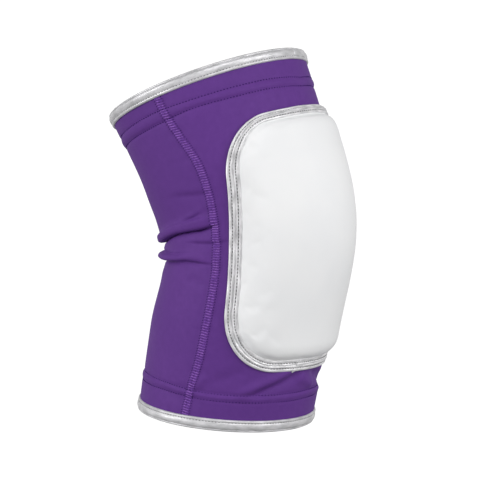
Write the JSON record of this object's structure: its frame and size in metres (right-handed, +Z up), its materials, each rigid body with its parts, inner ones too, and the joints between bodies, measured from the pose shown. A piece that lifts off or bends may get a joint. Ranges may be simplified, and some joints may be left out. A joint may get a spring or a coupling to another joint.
{
  "type": "volleyball knee pad",
  "caption": "Stretch-fabric knee sleeve, bent at the knee, with a bound foam pad over the kneecap and taped rims, open for the leg from end to end.",
  "frame": {"origin": "middle of the leg hollow at the knee, where the centre of the knee sits", "axes": "+Z up the leg, -Y forward through the pad, +X to the wearer's left, so the object is alike on both sides of X = 0"},
  "size_m": [0.1298, 0.1597, 0.237],
  "materials": {
    "sleeve_fabric": "matt knitted stretch fabric with a soft sheen",
    "pad_cover": "smooth white knit over foam",
    "binding_tape": "silver-white satin tape"
  },
  "bodies": {
    "root": {"front_panel": "sleeve_fabric", "back_panel": "sleeve_fabric", "top_binding": "binding_tape", "bottom_binding": "binding_tape", "foam_pad": "pad_cover", "pad_binding": "binding_tape"}
  },
  "joints": []
}
